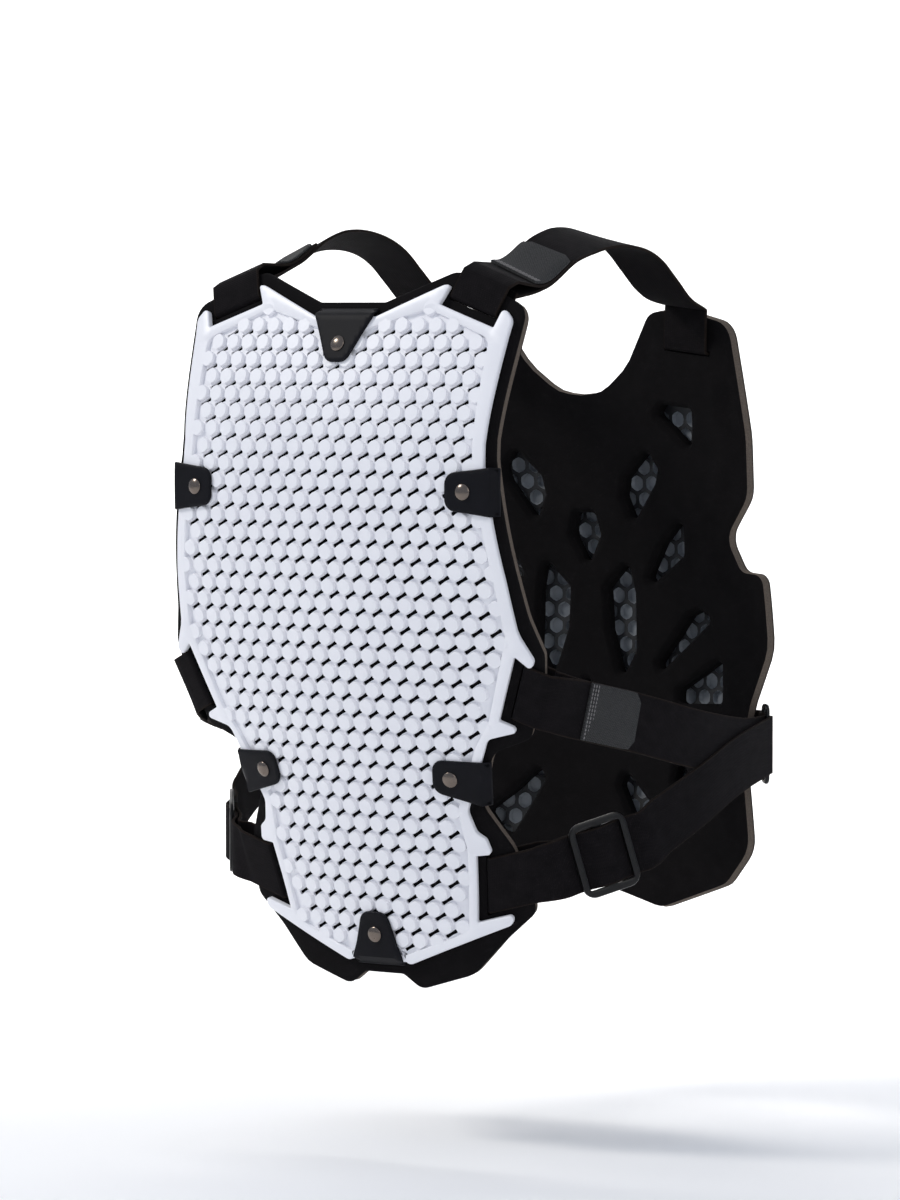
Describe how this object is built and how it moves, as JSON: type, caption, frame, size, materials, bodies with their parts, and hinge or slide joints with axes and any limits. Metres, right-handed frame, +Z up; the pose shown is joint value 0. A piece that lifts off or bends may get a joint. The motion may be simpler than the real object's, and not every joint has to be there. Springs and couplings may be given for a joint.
{
  "type": "chest protector",
  "caption": "Off-road riding chest protector: moulded white front and rear shells on padded black liners, joined by elastic shoulder and waist straps.",
  "frame": {"origin": "midway between the shoulder straps, level with the middle of their undersides at the highest point, where the protector rests on the wearer's shoulders", "axes": "+Z up along the wearer's body, -Y towards the wearer's front, +X to the wearer's left"},
  "size_m": [0.3742, 0.3353, 0.5157],
  "materials": {
    "shell": "satin moulded polypropylene",
    "liner": "brushed knit laminated on foam",
    "elastic": "knitted elastic",
    "hook_tape": "hook tape",
    "tab": "moulded rubber",
    "rivet": "dark nickel plate",
    "hardware": "moulded acetal"
  },
  "bodies": {
    "root": {"bottom_rivet": "rivet", "bottom_tab": "tab", "front_liner": "liner", "front_shell": "shell", "lower_rivet_left": "rivet", "lower_rivet_right": "rivet", "lower_tab_left": "tab", "lower_tab_right": "tab", "rear_liner": "liner", "rear_shell": "shell", "ring_left": "hardware", "ring_right": "hardware", "ring_webbing_left": "elastic", "ring_webbing_right": "elastic", "shoulder_patch_left": "hook_tape", "shoulder_patch_right": "hook_tape", "shoulder_strap_left": "elastic", "shoulder_strap_right": "elastic", "slider_left": "hardware", "slider_right": "hardware", "top_rivet": "rivet", "top_tab": "tab", "upper_rivet_left": "rivet", "upper_rivet_right": "rivet", "upper_tab_left": "tab", "upper_tab_right": "tab", "waist_patch_left": "hook_tape", "waist_patch_right": "hook_tape", "waist_strap_left": "elastic", "waist_strap_right": "elastic"}
  },
  "joints": []
}
